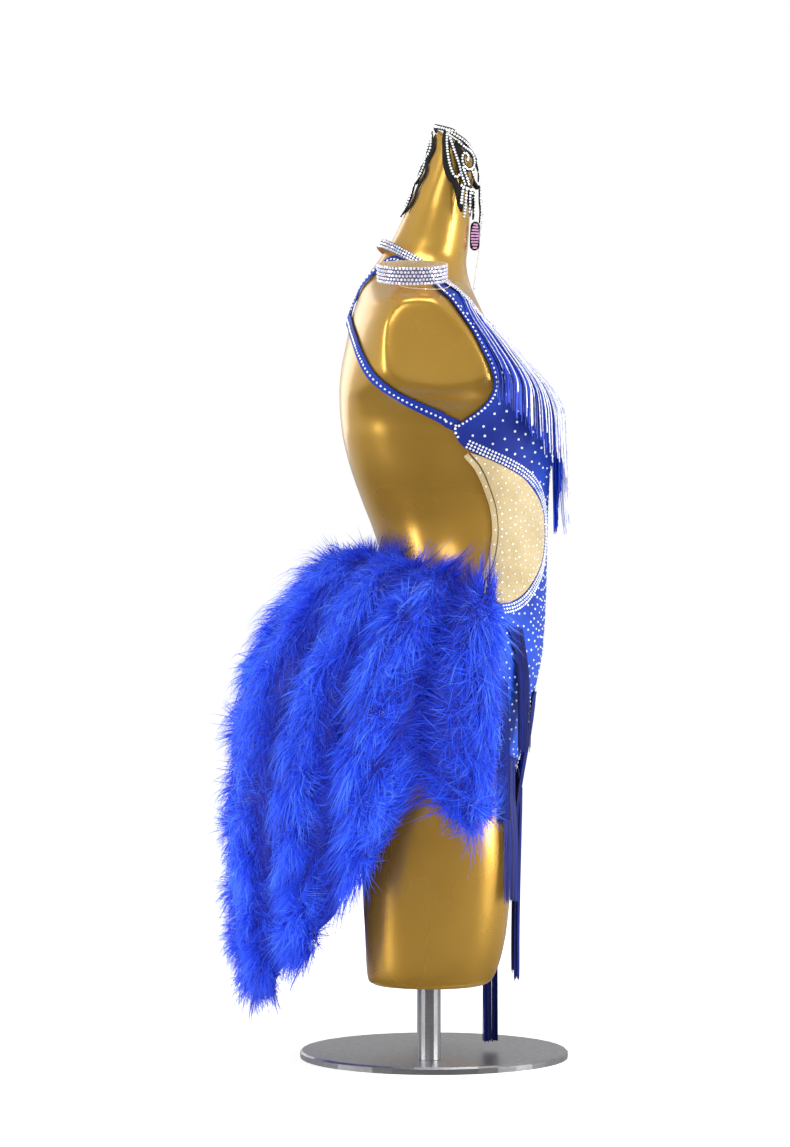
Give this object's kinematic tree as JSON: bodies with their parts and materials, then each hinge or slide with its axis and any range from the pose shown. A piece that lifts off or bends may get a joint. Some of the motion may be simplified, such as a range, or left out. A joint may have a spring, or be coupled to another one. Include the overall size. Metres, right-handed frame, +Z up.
{
  "type": "latin dance costume on a limbless dress form",
  "caption": "Blue halter leotard with nude waist insets, crystal bands, fringe and a feather bustle skirt, worn on a glossy gold dress form.",
  "frame": {"origin": "middle of the underside of the stand's round plate", "axes": "+X is the front of the costume, +Y the wearer's left, +Z up"},
  "size_m": [0.3982, 0.4572, 1.039],
  "materials": {
    "form_gold": "plated glossy gold",
    "stand_steel": "satin",
    "blue_stretch": "stretch cloth with a soft sheen",
    "nude_mesh": "fine power mesh",
    "crystal": "faceted stones on cream cloth",
    "fringe": "shiny rayon strands",
    "feather": "soft marabou down",
    "black_applique": "black applique with stones"
  },
  "bodies": {
    "root": {"form_body": "form_gold", "stand_plate": "stand_steel", "stand_post_left": "stand_steel", "stand_post_right": "stand_steel", "bodice_left": "blue_stretch", "bodice_right": "blue_stretch", "front_body": "blue_stretch", "trunk_back": "blue_stretch", "gusset": "blue_stretch", "strap_a": "blue_stretch", "strap_b": "blue_stretch", "skirt_centre": "blue_stretch", "skirt_1_left": "blue_stretch", "skirt_1_right": "blue_stretch", "skirt_2_left": "blue_stretch", "skirt_2_right": "blue_stretch", "mesh_binding_left": "nude_mesh", "mesh_binding_right": "nude_mesh", "mesh_left": "nude_mesh", "mesh_right": "nude_mesh", "crystal_band_left": "crystal", "crystal_band_right": "crystal", "collar_band": "crystal", "bridge_upper": "crystal", "bridge_lower": "crystal", "cuff": "crystal", "bust_fringe_left": "fringe", "bust_fringe_right": "fringe", "hip_fringe_a_left": "fringe", "hip_fringe_a_right": "fringe", "hip_fringe_b_left": "fringe", "hip_fringe_b_right": "fringe", "hip_fringe_c_left": "fringe", "hip_fringe_c_right": "fringe", "hip_fringe_d_left": "fringe", "hip_fringe_d_right": "fringe", "hip_fringe_e_left": "fringe", "hip_fringe_e_right": "fringe", "hip_fringe_f": "fringe", "boa_centre": "feather", "boa_1_left": "feather", "boa_1_right": "feather", "boa_2_left": "feather", "boa_2_right": "feather", "boa_3_left": "feather", "boa_3_right": "feather", "boa_4_left": "feather", "boa_4_right": "feather", "headpiece_front": "black_applique", "headpiece_back": "black_applique"}
  },
  "joints": []
}
